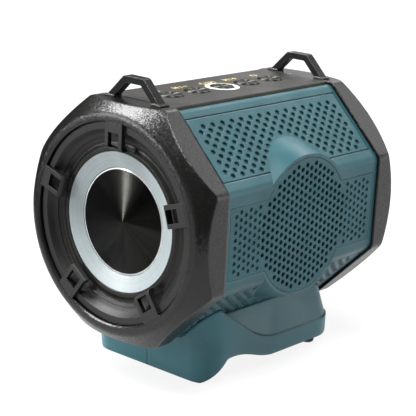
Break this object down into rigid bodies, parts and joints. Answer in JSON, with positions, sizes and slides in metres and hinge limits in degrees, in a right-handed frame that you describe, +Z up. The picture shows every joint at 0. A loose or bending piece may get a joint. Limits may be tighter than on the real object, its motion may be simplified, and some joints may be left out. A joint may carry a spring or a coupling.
{
  "type": "bluetooth speaker",
  "caption": "Portable wireless speaker: octagonal body with round claw-guarded ends, perforated grilles, top buttons and strap loops, on a foot that takes a slide-in tool battery.",
  "frame": {"origin": "on the floor below the middle of the body", "axes": "+X along the body, -Y out of the front grille, +Z up"},
  "size_m": [0.1726, 0.13, 0.1663],
  "materials": {
    "teal_plastic": "fine matte moulded",
    "grille_plastic": "fine matte moulded",
    "cap_plastic": "fine spark texture",
    "panel_plastic": "fine matte moulded",
    "button_metal": "spun, black",
    "light_guide": "milky",
    "circuit_board": "lacquered",
    "loop_plastic": "smooth",
    "rubber": "satin",
    "pale_cone": "frosted",
    "spun_disc": "spun, black, bright cut edge",
    "screw_steel": "plain",
    "magnet_steel": "plain",
    "basket_steel": "satin",
    "driver_paper": "pressed paper",
    "foot_rubber": "matte",
    "terminal_brass": "plain",
    "frame_plastic": "matte moulded"
  },
  "bodies": {
    "speaker": {"front_shell": "teal_plastic", "rear_shell": "teal_plastic", "front_grille": "grille_plastic", "rear_grille": "grille_plastic", "control_panel": "panel_plastic", "power_light_ring": "light_guide", "button_board": "circuit_board", "main_board": "circuit_board", "left_end_cap": "cap_plastic", "right_end_cap": "cap_plastic", "left_strap_loop": "loop_plastic", "right_strap_loop": "loop_plastic", "left_radiator_frame": "frame_plastic", "right_radiator_frame": "frame_plastic", "left_surround": "rubber", "right_surround": "rubber", "left_frame_screws": "screw_steel", "right_frame_screws": "screw_steel", "front_driver_basket": "basket_steel", "rear_driver_basket": "basket_steel", "front_driver_magnet": "magnet_steel", "rear_driver_magnet": "magnet_steel", "front_driver_surround": "rubber", "rear_driver_surround": "rubber", "base_front_half": "teal_plastic", "base_rear_half": "teal_plastic", "battery_frame": "frame_plastic", "terminal_block": "terminal_brass", "front_foot": "foot_rubber", "rear_foot": "foot_rubber", "base_screws": "screw_steel"},
    "play_button": {"play_button": "button_metal"},
    "previous_button": {"previous_button": "button_metal"},
    "power_button": {"power_button": "button_metal"},
    "next_button": {"next_button": "button_metal"},
    "mode_button": {"mode_button": "button_metal"},
    "left_radiator": {"left_radiator_cone": "pale_cone", "left_radiator_disc": "spun_disc"},
    "right_radiator": {"right_radiator_cone": "pale_cone", "right_radiator_disc": "spun_disc"},
    "front_driver": {"front_driver_cone": "driver_paper"},
    "rear_driver": {"rear_driver_cone": "driver_paper"}
  },
  "joints": [
    {"name": "play_button_press", "type": "slide", "parent": "speaker", "child": "play_button", "axis": [0, 0, -1], "range_m": [0, 0.0006], "stiffness_N_per_m": 1500, "springref_m": -0.0002},
    {"name": "previous_button_press", "type": "slide", "parent": "speaker", "child": "previous_button", "axis": [0, 0, -1], "range_m": [0, 0.0006], "stiffness_N_per_m": 1500, "springref_m": -0.0002},
    {"name": "power_button_press", "type": "slide", "parent": "speaker", "child": "power_button", "axis": [0, 0, -1], "range_m": [0, 0.0006], "stiffness_N_per_m": 1500, "springref_m": -0.0002},
    {"name": "next_button_press", "type": "slide", "parent": "speaker", "child": "next_button", "axis": [0, 0, -1], "range_m": [0, 0.0006], "stiffness_N_per_m": 1500, "springref_m": -0.0002},
    {"name": "mode_button_press", "type": "slide", "parent": "speaker", "child": "mode_button", "axis": [0, 0, -1], "range_m": [0, 0.0006], "stiffness_N_per_m": 1500, "springref_m": -0.0002},
    {"name": "left_radiator_stroke", "type": "slide", "parent": "speaker", "child": "left_radiator", "axis": [-1, 0, 0], "range_m": [-0.0015, 0.0015], "stiffness_N_per_m": 1500, "deforming": ["left_surround"]},
    {"name": "right_radiator_stroke", "type": "slide", "parent": "speaker", "child": "right_radiator", "axis": [1, 0, 0], "range_m": [-0.0015, 0.0015], "stiffness_N_per_m": 1500, "deforming": ["right_surround"]},
    {"name": "front_driver_stroke", "type": "slide", "parent": "speaker", "child": "front_driver", "axis": [0, -1, 0], "range_m": [-0.001, 0.001], "stiffness_N_per_m": 1500, "deforming": ["front_driver_surround"]},
    {"name": "rear_driver_stroke", "type": "slide", "parent": "speaker", "child": "rear_driver", "axis": [0, 1, 0], "range_m": [-0.001, 0.001], "stiffness_N_per_m": 1500, "deforming": ["rear_driver_surround"]}
  ]
}
